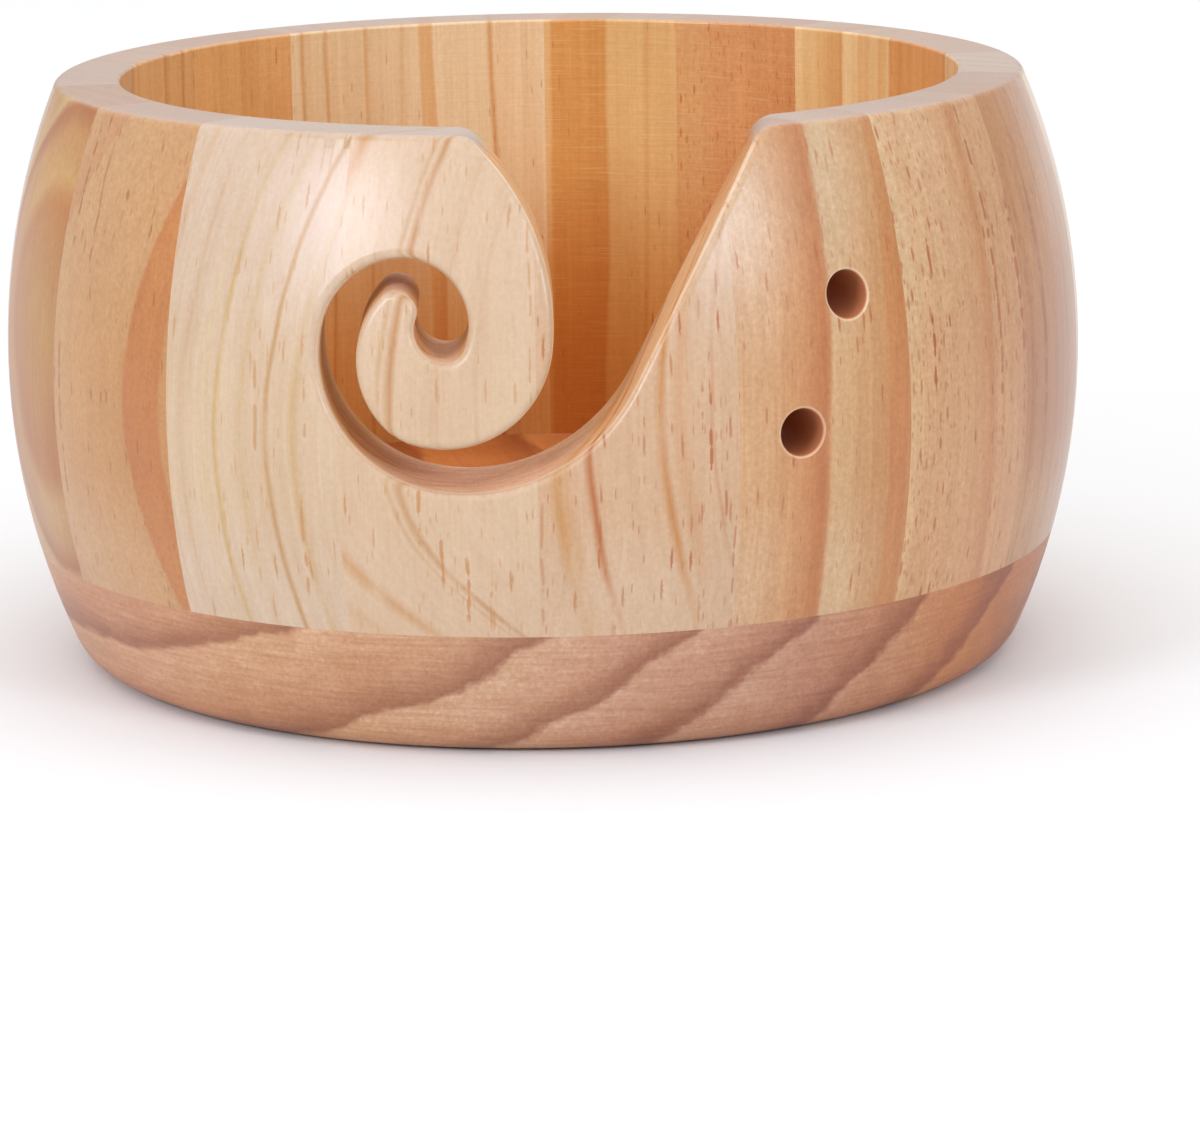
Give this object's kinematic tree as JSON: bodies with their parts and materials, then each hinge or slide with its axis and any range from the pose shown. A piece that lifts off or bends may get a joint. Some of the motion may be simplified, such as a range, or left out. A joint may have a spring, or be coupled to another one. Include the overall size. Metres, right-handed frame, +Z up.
{
  "type": "yarn bowl",
  "caption": "Turned wooden yarn bowl: a barrel of glued staves on a solid disc base, with a hooked spiral yarn slot and needle holes in its side.",
  "frame": {"origin": "centre of the flat underside", "axes": "+Z up along the bowl's turning axis, -Y towards the front, where the yarn slot is, and +X to the right as seen from the front"},
  "size_m": [0.16, 0.1599, 0.0865],
  "materials": {
    "base_wood": "clear satin lacquer over pinkish brown pine",
    "cream_wood": "clear satin lacquer over pale cream pine",
    "straw_wood": "clear satin lacquer over straw-coloured pine with flecks",
    "salmon_wood": "clear satin lacquer over salmon-coloured pine",
    "tan_wood": "clear satin lacquer over tan pine"
  },
  "bodies": {
    "root": {"base_disc": "base_wood", "stave_right_01": "cream_wood", "stave_right_01_hook": "cream_wood", "stave_right_02": "salmon_wood", "stave_right_03": "straw_wood", "stave_right_04": "tan_wood", "stave_right_05": "cream_wood", "stave_right_06": "straw_wood", "stave_right_07": "salmon_wood", "stave_right_08": "cream_wood", "stave_right_09": "straw_wood", "stave_left_09": "tan_wood", "stave_left_08": "cream_wood", "stave_left_07": "straw_wood", "stave_left_06": "salmon_wood", "stave_left_05": "cream_wood", "stave_left_04": "tan_wood", "stave_left_03": "straw_wood", "stave_left_02": "cream_wood", "stave_left_02_hook": "cream_wood", "stave_left_01": "cream_wood", "stave_left_01_hook": "cream_wood"}
  },
  "joints": []
}
